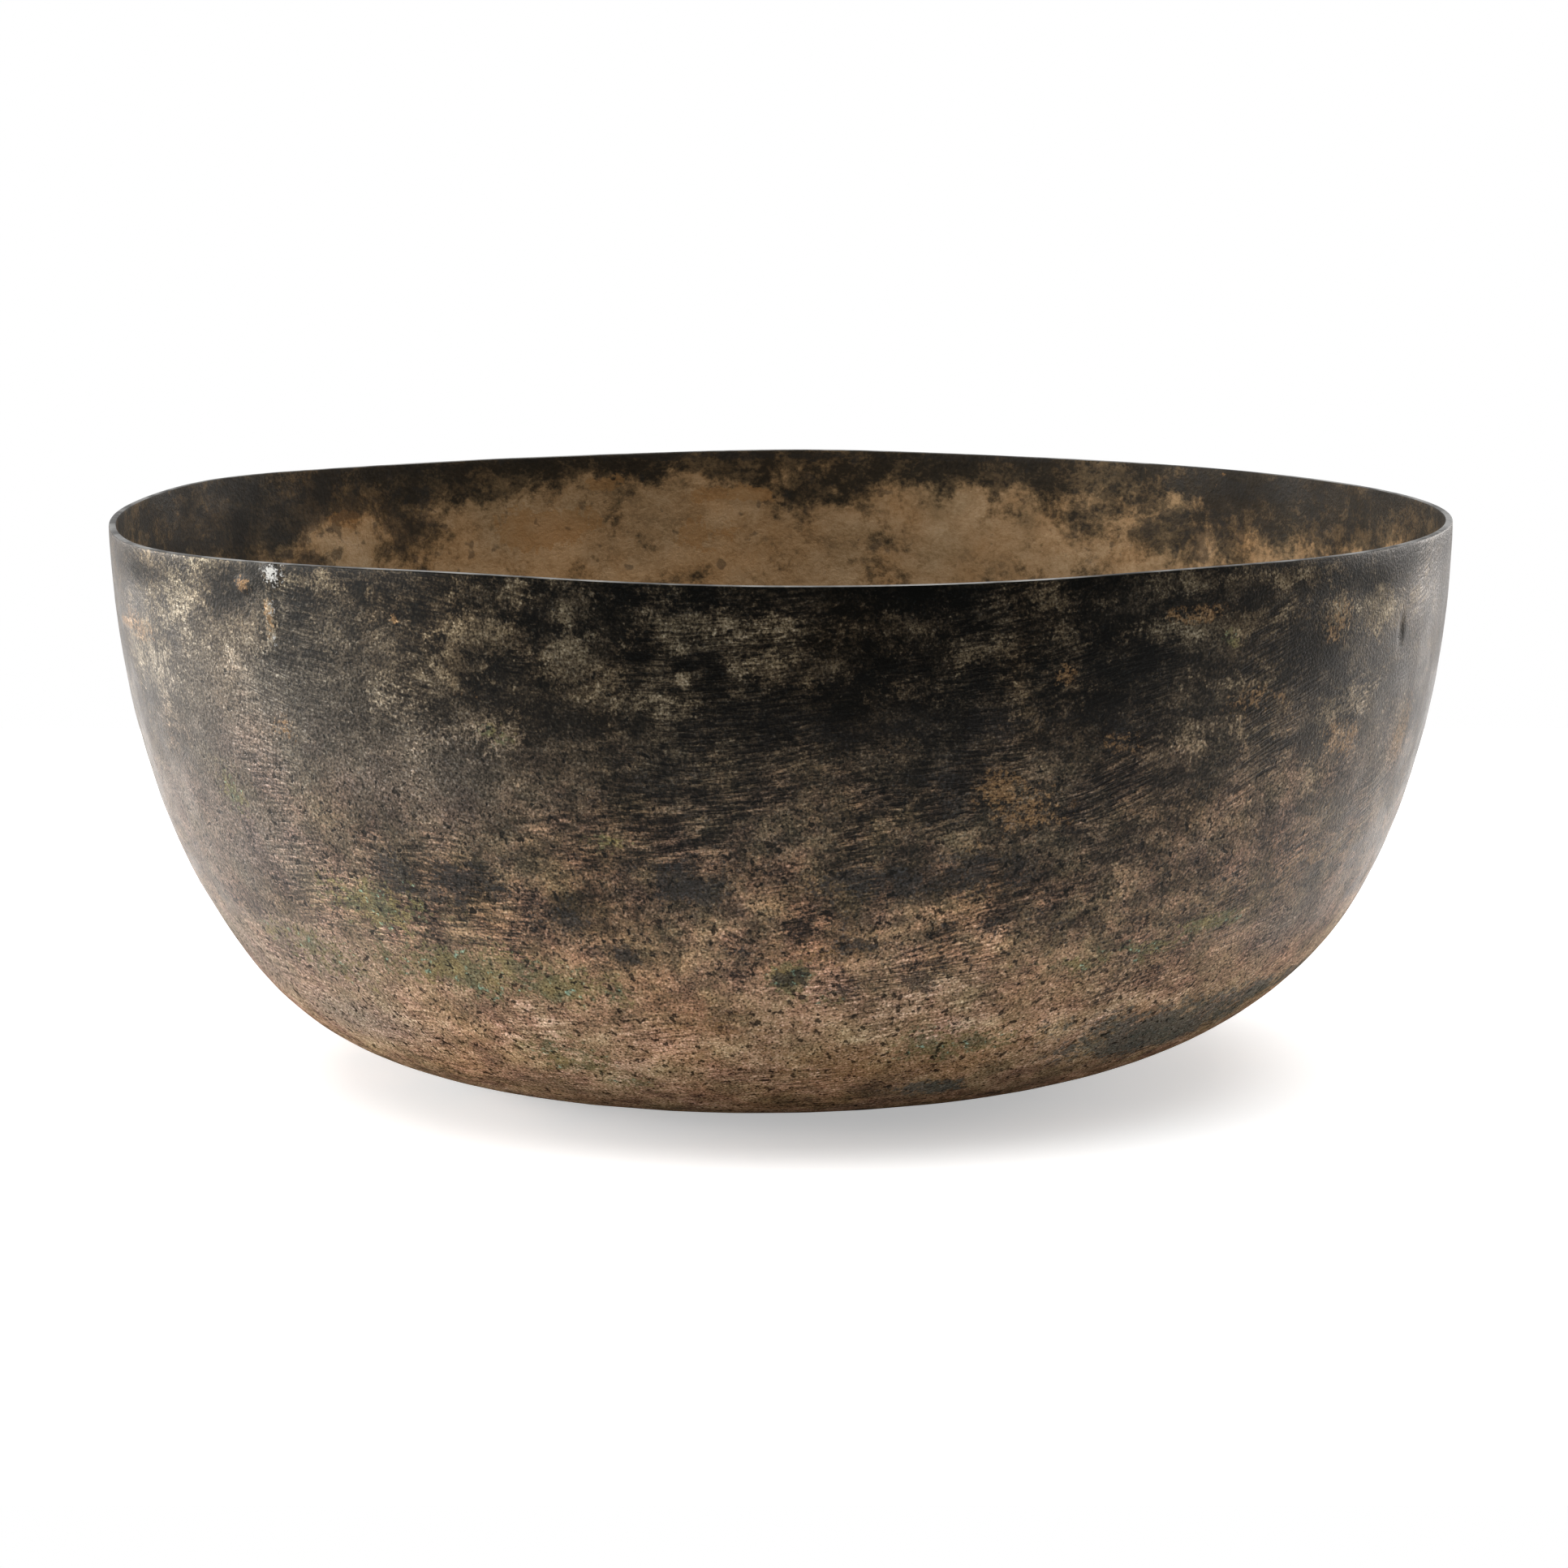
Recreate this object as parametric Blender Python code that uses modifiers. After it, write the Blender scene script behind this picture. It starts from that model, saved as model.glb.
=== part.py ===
"""Hammered copper bowl, raised by hand from one round sheet.

Metres, +Z up.  The origin is on the resting plane, under the middle of the rim.
The near side of the bowl is towards -Y.
"""

import math

import bmesh
import bpy

# Driving dimensions of the turned form, in metres
RIM_RADIUS = 0.175
HEIGHT = 0.146
FOOT_RADIUS = 0.050
WALL = 0.0020
LIP_ROUND = 0.0005

# Fullness of the wall curve, as the two powers of a superellipse
FULLNESS_ACROSS = 4.5
FULLNESS_DOWN = 1.9

# Hand-raised irregularity
FOOT_OFFSET = -0.007        # the foot lies this far along X from the rim's middle
FOOT_OFFSET_START = 0.70    # share of the depth at which the wall starts to lean that way
FOOT_OFFSET_POWER = 1.5     # how gently that lean sets in
BULGE_FADE = 2.0            # power by which a bulge dies away from the rim to the foot
RISE_FADE = 4.0             # power by which a rise of the rim dies away below it

# Places where the rim is pushed out: azimuth and spread in degrees, push in metres
RIM_BULGES = (
    (150.0, 17.0, 0.0045),
    (209.0, 17.0, 0.0045),
)
# Places where the rim stands high or low: azimuth and spread in degrees, rise in metres
RIM_RISES = (
    (88.0, 14.0, 0.0009),
    (152.0, 12.0, 0.0007),
    (205.0, 14.0, -0.0008),
    (244.0, 15.0, 0.0013),
    (304.0, 15.0, 0.0010),
)

# Resolution of the turned form
STEPS_ROUND = 80
STEPS_DOWN = 25
LIP_SEGMENTS = 2
LIP_MAX_SHARE = 0.4         # the lip's rounding takes at most this share of the wall
LIP_ANGLE = 60.0            # degrees; only the cut edge of the sheet is sharper than this
SHADE_ANGLE = 50.0          # degrees; edges sharper than this stay crisp
MERGE_DISTANCE = 0.00005    # metres

# Finish
COPPER_COLOUR = (0.18, 0.10, 0.06, 1.0)
COPPER_ROUGHNESS = 0.42
COPPER_METALLIC = 0.9


def clear_scene():
    for thing in list(bpy.data.objects):
        bpy.data.objects.remove(thing, do_unlink=True)


def copper_material():
    material = bpy.data.materials.new("aged_copper")
    material.use_nodes = True
    shader = material.node_tree.nodes["Principled BSDF"]
    shader.inputs["Base Color"].default_value = COPPER_COLOUR
    shader.inputs["Roughness"].default_value = COPPER_ROUGHNESS
    shader.inputs["Metallic"].default_value = COPPER_METALLIC
    return material


def wall_depth(radius):
    """Depth below the rim, as a share of full depth, of the wall at a radius."""
    across = min(radius / RIM_RADIUS, 1.0)
    return (1.0 - across ** FULLNESS_ACROSS) ** (1.0 / FULLNESS_DOWN)


def outer_profile():
    """Outer wall from the rim down to the edge of the foot, then the foot's middle."""
    foot_depth = wall_depth(FOOT_RADIUS)
    foot_turn = math.acos((FOOT_RADIUS / RIM_RADIUS) ** (FULLNESS_ACROSS / 2.0))
    points = []
    for step in range(STEPS_DOWN + 1):
        turn = foot_turn * step / STEPS_DOWN
        radius = RIM_RADIUS * math.cos(turn) ** (2.0 / FULLNESS_ACROSS)
        height = HEIGHT * (1.0 - wall_depth(radius) / foot_depth)
        points.append((radius, 0.0, height))
    points.append((0.0, 0.0, 0.0))
    return points


def turned_shell():
    """The bowl's outer skin as a true turned surface, read out as a mesh."""
    points = outer_profile()
    edges = [(i, i + 1) for i in range(len(points) - 1)]
    mesh = bpy.data.meshes.new("bowl_profile")
    mesh.from_pydata(points, edges, [])
    profile = bpy.data.objects.new("bowl_profile", mesh)
    bpy.context.scene.collection.objects.link(profile)

    screw = profile.modifiers.new("turn", "SCREW")
    screw.axis = "Z"
    screw.angle = math.tau
    screw.steps = STEPS_ROUND
    screw.render_steps = STEPS_ROUND
    screw.use_merge_vertices = True
    screw.merge_threshold = MERGE_DISTANCE

    bpy.context.view_layer.update()
    graph = bpy.context.evaluated_depsgraph_get()
    shell = bpy.data.meshes.new_from_object(profile.evaluated_get(graph))
    bpy.data.objects.remove(profile, do_unlink=True)
    return shell


def around(azimuth, places):
    """Sum of smooth local bumps at an azimuth given in degrees."""
    total = 0.0
    for centre, spread, amount in places:
        off = (azimuth - centre + 180.0) % 360.0 - 180.0
        total += amount * math.exp(-((off / spread) ** 2))
    return total


def work_by_hand(shell):
    """Lean the foot, push the rim out of round and let its edge rise and fall."""
    for vertex in shell.vertices:
        x, y, z = vertex.co
        azimuth = math.degrees(math.atan2(y, x))
        radius = math.hypot(x, y)
        share_up = z / HEIGHT
        lean = max(0.0, (1.0 - share_up - FOOT_OFFSET_START) / (1.0 - FOOT_OFFSET_START))
        push = around(azimuth, RIM_BULGES) * share_up ** BULGE_FADE
        rise = around(azimuth, RIM_RISES) * share_up ** RISE_FADE
        if radius > 0.0:
            x += push * x / radius
            y += push * y / radius
        vertex.co = (x + FOOT_OFFSET * lean ** FOOT_OFFSET_POWER, y, z + rise)


def centre_on_rim(shell):
    """Bring the middle of the outer box over the origin."""
    xs = [vertex.co.x for vertex in shell.vertices]
    ys = [vertex.co.y for vertex in shell.vertices]
    middle_x = (min(xs) + max(xs)) / 2.0
    middle_y = (min(ys) + max(ys)) / 2.0
    for vertex in shell.vertices:
        vertex.co.x -= middle_x
        vertex.co.y -= middle_y


def face_outwards(shell):
    mesh = bmesh.new()
    mesh.from_mesh(shell)
    bmesh.ops.remove_doubles(mesh, verts=mesh.verts, dist=MERGE_DISTANCE)
    lowest = min(mesh.faces, key=lambda face: face.calc_center_median().z)
    if lowest.normal.z > 0.0:
        bmesh.ops.reverse_faces(mesh, faces=mesh.faces)
    mesh.to_mesh(shell)
    mesh.free()


def make_bowl(collection):
    shell = turned_shell()
    work_by_hand(shell)
    centre_on_rim(shell)
    face_outwards(shell)
    shell.name = "bowl"
    shell.materials.append(copper_material())
    bowl = bpy.data.objects.new("bowl", shell)
    collection.objects.link(bowl)

    sheet = bowl.modifiers.new("sheet_thickness", "SOLIDIFY")
    sheet.thickness = WALL
    sheet.offset = -1.0
    sheet.use_even_offset = True

    lip = bowl.modifiers.new("lip_round", "BEVEL")
    lip.width = min(LIP_ROUND, LIP_MAX_SHARE * WALL)
    lip.segments = LIP_SEGMENTS
    lip.limit_method = "ANGLE"
    lip.angle_limit = math.radians(LIP_ANGLE)

    shell.shade_smooth()
    shell.set_sharp_from_angle(angle=math.radians(SHADE_ANGLE))
    return bowl


def main():
    clear_scene()
    collection = bpy.data.collections.new("hammered_copper_bowl")
    bpy.context.scene.collection.children.link(collection)
    make_bowl(collection)


main()
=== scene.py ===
"""Old hammered copper bowl: the hammered skin, its patina and a white studio."""

import math

import bpy
import numpy as np
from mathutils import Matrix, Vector
from mathutils.bvhtree import BVHTree


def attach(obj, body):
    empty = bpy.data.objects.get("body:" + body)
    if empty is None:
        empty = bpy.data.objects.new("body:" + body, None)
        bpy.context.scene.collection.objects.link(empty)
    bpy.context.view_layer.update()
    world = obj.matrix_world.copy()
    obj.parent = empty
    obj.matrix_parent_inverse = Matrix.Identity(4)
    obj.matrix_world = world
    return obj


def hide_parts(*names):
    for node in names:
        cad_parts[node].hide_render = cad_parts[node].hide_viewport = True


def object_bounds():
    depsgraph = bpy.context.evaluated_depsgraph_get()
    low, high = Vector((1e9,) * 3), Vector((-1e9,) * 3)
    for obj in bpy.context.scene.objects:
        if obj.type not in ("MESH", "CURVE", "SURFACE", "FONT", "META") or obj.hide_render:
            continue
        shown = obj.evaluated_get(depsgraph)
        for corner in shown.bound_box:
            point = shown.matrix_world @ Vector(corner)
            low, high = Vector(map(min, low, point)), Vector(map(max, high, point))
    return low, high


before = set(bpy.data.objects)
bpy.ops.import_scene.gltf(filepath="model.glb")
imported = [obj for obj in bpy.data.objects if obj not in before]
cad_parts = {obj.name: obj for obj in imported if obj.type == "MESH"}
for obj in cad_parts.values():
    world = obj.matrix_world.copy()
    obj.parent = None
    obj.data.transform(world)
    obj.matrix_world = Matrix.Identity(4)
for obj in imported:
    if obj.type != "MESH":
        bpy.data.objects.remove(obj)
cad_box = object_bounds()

SEED = 7

# Camera, aimed at the middle of the bowl: the photograph's side in pixels, sensor and lens
# in millimetres, the rest in metres and radians
PHOTO_SIDE = 1932
SENSOR_WIDTH = 36.0
CAMERA_LENS = 121.3
CAMERA_DISTANCE = 1.40
CAMERA_ELEVATION = math.radians(8.67)
CAMERA_AIM = Vector((0.0005, 0.0, 0.0734))

# Finding a pixel on the bowl: shares of the way to the middle that are tried, the least slants
# that widen a patch, and the distance off its plane at which a patch ends, in metres
SEARCH_SHARES = np.linspace(0.0, 0.2, 21)
LEAST_SIDEWAYS = 0.2
LEAST_FACING = 0.3
LEAST_RISING = 0.25
PATCH_DEPTH = 0.04

# Skin of the bowl, in metres and radians: how it is refined, where its lip, floor and foot are,
# and the slice of the near side that gives the distance down the wall
SKIN_LEVELS = 2
MERGE_DISTANCE = 0.00002
QUAD_ANGLE = math.radians(70.0)
LIP_NORMAL = 0.55
LIP_ZONE = 0.9
FLOOR_RADIUS = 0.08
FOOT_FLAT = 0.0005
NEAR_SLICE = 0.02

# Hammer blows, in metres; jitter is in steps, forces are shares of the full depth,
# and the inner share is what shows inside
COURSE_STEP = 0.0085
BLOW_STEP = 0.0150
BLOW_HALF_LENGTH = 0.0120
BLOW_HALF_HEIGHT = 0.0068
BLOW_DEPTH = 0.00015
BLOW_FORCES = (0.45, 1.0)
BLOW_JITTER = 0.35
BLOW_LEAN = 0.30
LEAST_BLOWS = 6
INNER_SHARE = 0.55
LIP_FADE = 0.010

# Marks on the wall: cuts and reach of the finer skin, roughness of their tops, steepness of their sides
MARK_CUTS = 3
MARK_REACH = 0.004
MARK_ROUGHNESS = (0.55, 1.0)
MARK_STEEPNESS = 4

# Each mark: middle x and y, half width and half height in the photograph's pixels, rise in metres
MARKS = {
    "chalk_lump": (335, 707, 11, 14, 0.0005),
    "chalk_drip": (333, 766, 5, 30, 0.00025),
    "orange_chip": (300, 720, 9, 9, 0.0004),
    "end_ledge": (158, 767, 12, 6, 0.0004),
    "long_scar": (898, 769, 10, 5, 0.0003),
    "short_scar": (914, 781, 8, 5, 0.0003),
    "tan_bead": (842, 836, 5, 8, 0.0003),
    "green_pit": (975, 1205, 25, 15, -0.0006),
    "small_ring": (1400, 1183, 9, 8, -0.0003),
    "end_crack": (1727, 776, 4, 18, -0.0005),
}

# Stains: middle x and y, half width and half height in the photograph's pixels, then the strength.
# Calm stains mark metal that is less broken up, whose colour is drawn lighter and greyer as a painted
# sheen.
BLACK_STAINS = (
    (1000, 745, 420, 26, 0.9),
    (1180, 800, 190, 50, 0.6),
    (980, 850, 220, 45, 0.6),
    (1080, 888, 260, 34, 0.9),
    (1370, 890, 70, 40, 0.7),
    (1615, 785, 55, 50, 0.8),
    (640, 840, 110, 40, 0.8),
    (1390, 790, 70, 60, 0.8),
    (420, 745, 120, 30, 0.6),
    (650, 745, 24, 60, 0.7),
    (770, 790, 34, 60, 0.9),
    (1560, 740, 120, 30, 0.6),
    (1690, 712, 70, 22, 0.9),
    (170, 705, 40, 22, 0.7),
    (275, 735, 30, 40, 0.7),
    (370, 785, 70, 40, 0.7),
    (1400, 1205, 70, 30, 0.6),
    (820, 960, 70, 60, 0.5),
    (1180, 960, 60, 50, 0.7),
    (850, 1090, 60, 30, 0.8),
    (560, 1090, 60, 30, 0.8),
    (490, 1080, 50, 30, 0.7),
    (1090, 1090, 100, 25, 0.8),
    (1210, 1075, 70, 30, 0.8),
    (1060, 1165, 34, 14, 0.9),
    (1160, 1143, 30, 10, 0.8),
    (1220, 1143, 24, 12, 0.8),
    (1300, 1150, 70, 22, 0.5),
    (690, 1135, 40, 20, 0.7),
    (770, 1175, 16, 14, 0.8),
    (935, 1170, 30, 22, 0.6),
    (1140, 1207, 34, 20, 0.7),
    (1040, 1225, 26, 16, 0.6),
    (975, 1206, 20, 11, 0.9),
)
TAN_STAINS = (
    (200, 720, 50, 70, 0.5),
    (180, 800, 40, 70, 0.5),
    (250, 690, 50, 18, 0.5),
    (333, 766, 8, 34, 0.9),
    (385, 715, 60, 16, 0.5),
    (270, 800, 60, 30, 0.25),
    (600, 735, 50, 20, 0.8),
    (600, 785, 60, 22, 0.9),
    (560, 820, 50, 20, 0.7),
    (700, 745, 30, 30, 0.8),
    (715, 810, 50, 34, 0.9),
    (830, 770, 50, 40, 0.7),
    (898, 769, 12, 5, 1.4),
    (914, 781, 9, 5, 1.4),
    (842, 836, 6, 9, 1.4),
    (780, 865, 50, 20, 0.6),
    (985, 825, 70, 22, 0.9),
    (950, 775, 60, 22, 0.5),
    (1090, 775, 70, 26, 0.6),
    (1120, 850, 60, 18, 0.6),
    (1210, 800, 40, 30, 0.6),
    (1290, 740, 70, 22, 0.6),
    (1310, 800, 40, 40, 0.6),
    (1290, 860, 60, 30, 0.5),
    (1470, 715, 50, 14, 0.9),
    (1500, 770, 90, 14, 1.0),
    (1600, 710, 50, 14, 0.8),
    (1700, 745, 30, 26, 1.0),
    (1650, 760, 22, 30, 0.8),
    (1555, 835, 50, 18, 0.5),
    (1480, 905, 80, 26, 0.35),
    (1655, 880, 34, 40, 0.6),
    (1725, 900, 20, 40, 0.8),
    (1590, 965, 60, 26, 0.6),
    (1500, 1010, 60, 20, 0.5),
    (600, 905, 50, 30, 0.4),
    (520, 880, 60, 40, 0.3),
    (960, 1090, 50, 36, 0.8),
    (620, 1120, 40, 26, 0.7),
    (1330, 1090, 60, 30, 0.7),
    (1180, 1130, 50, 20, 0.6),
    (880, 1150, 40, 20, 0.5),
)
ORANGE_STAINS = (
    (1235, 975, 26, 22, 0.9),
    (1270, 1000, 40, 30, 0.6),
    (1480, 757, 40, 6, 0.9),
    (1655, 910, 26, 26, 0.6),
    (1652, 765, 16, 26, 0.7),
    (1728, 900, 12, 36, 0.6),
    (1545, 862, 34, 16, 0.6),
    (1310, 830, 12, 12, 0.7),
    (1385, 915, 24, 12, 0.5),
    (350, 900, 14, 14, 0.6),
    (488, 766, 7, 6, 0.6),
    (298, 720, 9, 9, 0.7),
    (332, 756, 6, 24, 0.7),
    (158, 767, 14, 8, 1.0),
    (1190, 1048, 20, 10, 0.6),
    (170, 770, 24, 20, 0.6),
    (577, 855, 8, 6, 0.9),
    (1020, 1175, 40, 18, 0.5),
    (900, 1265, 90, 20, 0.5),
    (1090, 1312, 130, 24, 0.7),
)
GREEN_STAINS = (
    (460, 1115, 70, 32, 0.7),
    (285, 975, 14, 34, 0.6),
    (630, 1185, 50, 22, 0.6),
    (975, 1205, 25, 16, 1.3),
    (700, 1300, 40, 26, 0.7),
    (785, 1335, 22, 10, 0.8),
    (1150, 1288, 40, 20, 0.9),
    (1210, 1282, 34, 18, 0.8),
    (750, 1040, 30, 12, 0.5),
    (1400, 1183, 12, 11, 0.7),
    (340, 1145, 26, 16, 0.5),
    (400, 1180, 60, 40, 0.6),
    (560, 1195, 90, 30, 0.8),
    (690, 1218, 80, 22, 0.8),
    (1520, 786, 16, 10, 0.8),
    (610, 905, 30, 18, 0.3),
    (740, 1215, 50, 14, 0.5),
    (1000, 1230, 40, 10, 0.5),
    (1280, 1192, 40, 10, 0.4),
    (1330, 1190, 40, 9, 0.8),
    (1410, 1168, 50, 9, 0.8),
    (1495, 1135, 40, 9, 0.8),
)
TEAL_STAINS = (
    (1430, 1270, 100, 34, 0.9),
    (1140, 1341, 32, 9, 0.9),
    (1560, 1215, 70, 20, 0.7),
)
CHALK_STAINS = (
    (336, 706, 11, 13, 0.75),
    (334, 748, 5, 10, 0.45),
    (337, 788, 4, 9, 0.4),
    (215, 683, 6, 5, 0.45),
)
# Calm metal: less broken up, and lighter and greyer in colour as a painted sheen
CALM_SHEEN_STAINS = (
    (300, 880, 170, 130, 1.0),
    (260, 1020, 150, 110, 1.0),
    (490, 960, 190, 90, 0.8),
    (380, 1170, 120, 80, 0.8),
    (420, 1245, 80, 40, 0.9),
    (290, 1170, 70, 80, 1.0),
    (1560, 1010, 150, 80, 0.4),
    (1700, 920, 60, 90, 0.6),
    (1600, 1130, 70, 50, 0.7),
)
INNER_TAN_STAINS = (
    (680, 650, 150, 50, 0.9),
    (880, 640, 130, 50, 0.9),
    (1160, 665, 130, 40, 0.8),
    (1010, 650, 90, 50, 0.7),
    (1180, 612, 220, 22, 0.7),
    (900, 590, 90, 14, 0.6),
    (420, 660, 40, 30, 0.8),
)
INNER_ORANGE_STAINS = (
    (740, 595, 50, 14, 0.8),
    (660, 650, 110, 30, 0.9),
    (900, 608, 90, 14, 0.8),
    (420, 640, 24, 16, 0.8),
    (860, 660, 90, 30, 0.6),
)
# Dark patches inside: soot, and painted shade on the inner right wall
INNER_SOOT_AND_SHADE_STAINS = (
    (300, 640, 160, 60, 1.0),
    # The next four are painted shade, darkening the inner right wall where the left softbox lights it
    (1350, 655, 80, 50, 0.4),
    (1470, 655, 120, 50, 0.6),
    (1560, 605, 150, 24, 0.7),
    (1660, 635, 110, 50, 0.5),
    (505, 650, 45, 60, 0.9),
    (390, 690, 40, 30, 0.7),
    (1090, 668, 40, 20, 0.6),
    (1000, 562, 700, 6, 0.8),
    (750, 640, 16, 20, 0.5),
)

# Patina colours; a patina gives a colour at each level, and tints multiply the colour under them
BLACK = (0.004, 0.004, 0.0035)
SOOT = (0.024, 0.022, 0.020)
SHEEN = (1.00, 0.96, 0.93)
ORANGE = (0.180, 0.105, 0.048)
RUST = (0.300, 0.165, 0.066)
OLIVE = (0.150, 0.118, 0.048)
GREEN = (0.058, 0.064, 0.034)
TEAL = (0.054, 0.062, 0.054)
VERDIGRIS = (0.170, 0.260, 0.190)
CYAN = (0.420, 0.560, 0.480)
CHALK = (0.480, 0.470, 0.440)
# Lift for the bright specks, which are partly painted glints
GLINT_LIFT = (1.75, 1.90, 2.10)
GREY = (0.210, 0.205, 0.195)
UPPER_PATINA = (
    (0.00, (0.004, 0.004, 0.0035)),
    (0.20, (0.012, 0.010, 0.0075)),
    (0.38, (0.040, 0.031, 0.021)),
    (0.55, (0.098, 0.078, 0.051)),
    (0.75, (0.200, 0.163, 0.112)),
    (1.00, (0.350, 0.300, 0.235)),
)
LOWER_PATINA = (
    (0.00, (0.005, 0.004, 0.004)),
    (0.18, (0.013, 0.011, 0.009)),
    (0.32, (0.036, 0.027, 0.020)),
    (0.46, (0.088, 0.062, 0.042)),
    (0.60, (0.174, 0.115, 0.074)),
    (0.75, (0.300, 0.194, 0.122)),
    (1.00, (0.520, 0.380, 0.270)),
)
INNER_PATINA = (
    (0.00, (0.010, 0.009, 0.007)),
    (0.25, (0.030, 0.023, 0.015)),
    (0.42, (0.115, 0.078, 0.042)),
    (0.62, (0.290, 0.187, 0.097)),
    (0.85, (0.410, 0.285, 0.165)),
    (1.00, (0.440, 0.330, 0.220)),
)
ROSE_TINTS = (
    (0.38, (0.94, 1.00, 0.90)),
    (0.62, (1.00, 0.90, 0.94)),
)
TINTS = (
    (0.36, (0.90, 0.92, 0.91)),
    (0.50, (0.96, 0.94, 0.90)),
    (0.64, (1.00, 0.92, 0.81)),
)
GREENS = (
    (0.38, OLIVE),
    (0.62, GREEN),
)

# Down the wall, at shares of its length below the rim: how light the patina is outside and inside,
# how much of the inside flakes in light plates, and how much of the outside has dark blotches
WALL_LENGTH = 0.160
OUTER_LEVELS = ((0.00, 0.15), (0.05, 0.22), (0.12, 0.21), (0.20, 0.18), (0.27, 0.23), (0.40, 0.34),
                (0.52, 0.41), (0.60, 0.54), (0.70, 0.68), (0.86, 0.78), (1.00, 0.64))
INNER_LEVELS = ((0.00, 0.22), (0.06, 0.28), (0.12, 0.34), (0.35, 0.33), (0.60, 0.31), (1.00, 0.29))
PLATE_SHARES = ((0.00, 0.05), (0.05, 0.22), (0.12, 0.58), (0.30, 0.70), (0.60, 0.55), (1.00, 0.48))
BLOTCH_SHARES = ((0.00, 0.00), (0.25, 0.02), (0.45, 0.16), (0.60, 0.28), (0.72, 0.18), (0.85, 0.05))

# Edges of the stains: scale and amount of the tearing, scale and amount of the grain,
# then the level at which a patch shows and the softness there
EDGE_PARTS = ("Scale", "Ragged", "Grain_Scale", "Grain", "Level", "Softness")
EDGES = {
    "tan": (120.0, 1.9, 900.0, 1.7, 0.40, 0.14),
    "black": (110.0, 2.2, 900.0, 1.6, 0.42, 0.20),
    "blotch": (75.0, 2.6, 1000.0, 1.8, 0.55, 0.12),
    "orange": (150.0, 2.2, 900.0, 2.2, 0.50, 0.20),
    "green": (110.0, 2.2, 700.0, 2.0, 0.50, 0.18),
    "teal": (90.0, 1.8, 600.0, 1.6, 0.48, 0.16),
    "soot": (130.0, 2.4, 1000.0, 1.8, 0.58, 0.12),
    "chalk": (420.0, 2.2, 1400.0, 2.4, 0.50, 0.14),
    "inner_plate": (55.0, 2.2, 420.0, 0.5, 0.50, 0.24),
    "inner_rust": (70.0, 2.0, 420.0, 0.8, 0.50, 0.06),
    "inner_soot_and_shade": (120.0, 2.6, 420.0, 0.8, 0.55, 0.12),
}
STAIN_RIM = (0.04, 0.25)

# What each stain adds to the level, in the upper and the lower band of the wall where they differ
TAN_LIFT = (0.28, 0.14)
BLACK_DROP = (-0.12, -0.06)
BLOTCH_DROP = -0.22

# Inside, what tan and black stains add to the share of plates, and how far a plate is lighter:
# from one share of the wall to another, then the two values
PLATES_IN_TAN = 0.40
PLATES_IN_BLACK = -0.50
PLATE_LIFT = (0.30, 0.80, 0.36, 0.14)

# How well each colour covers the metal
ORANGE_COVER = 0.55
GREEN_COVER = 0.75
TEAL_COVER = 0.80
SOOT_COVER = 0.72
VERDIGRIS_COVER = 0.90
CHALK_COVER = 0.90
DARK_SPECK_COVER = 0.75
PIT_COVER = 0.85
CYAN_COVER = 0.70
INNER_RUST_COVER = 0.60
INNER_SPOT_COVER = 0.50
INNER_SOOT_AND_SHADE_COVER = 0.60

# Calm metal, with a painted sheen: the lighter level that stands in for the sheen and how far it is drawn
# there, then its clouds, strokes and colour, each from plain wall to full calmness; the greyer colour is
# painted sheen too
CALM_SHEEN_LEVEL = (0.53, 0.53, 0.53)
CALM_SHEEN_PULL = 0.7
CALM_CLOUDS = (1.0, 0.35)
CALM_STROKES = (0.20, 0.11)
CALM_SHEEN_SATURATION = (1.0, 0.7)

# Clouds, mottles and grain of the patina; the two amounts go from the upper band to the lower one
ABOUT_ZERO = (-0.5, 0.5)
CLOUD_STRETCH = (0.75, 0.75, 1.15)
MOTTLE_RANGE = (0.42, 0.58)
GRAIN_RANGE = (0.34, 0.66)
CLOUD_AMOUNT = (1.0, 0.55)
MOTTLE_AMOUNT = (0.20, 0.19)
OUTER_CLOUDS = dict(Cloud_Scale=50.0, Mottle_Scale=150.0, Grain_Scale=1200.0, Grain=0.16)
INNER_CLOUDS = dict(Cloud_Scale=40.0, Cloud=0.75, Mottle_Scale=140.0, Mottle=0.14,
                    Grain_Scale=900.0, Grain=0.08)

# Strokes round the wall and the longer, leaning scrapes of the lower band, in metres
STROKES = dict(Length=0.0070, Width=0.0008, Front_Lean=0.06, End_Lean=0.32)
SCRAPES = dict(Length=0.016, Width=0.0009, Front_Lean=0.28, End_Lean=0.20)
STROKE_RANGE = (0.36, 0.64)
STROKE_COVER = (0.42, 0.62)
STROKE_COVER_SCALE = 38.0
STROKE_WAVE = 0.014
STROKE_WAVE_SCALE = 14.0

# Pits and specks, each shown over a range of its noise
PIT_SCALE = 520.0
PIT_SHARES = (0.32, 0.39)
PIT_EDGE = 0.06
INNER_PITS = dict(Scale=190.0, Share=0.35)
PALE_SPECK_SCALE = 0.43
PALE_SPECKS = (0.83, 0.85)
DARK_SPECKS = (0.45, 0.33)
# The bright specks are partly painted glints
BRIGHT_SPECKS_AND_GLINTS = (0.56, 0.70)
VERDIGRIS_FLECKS = (0.61, 0.66)

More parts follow.
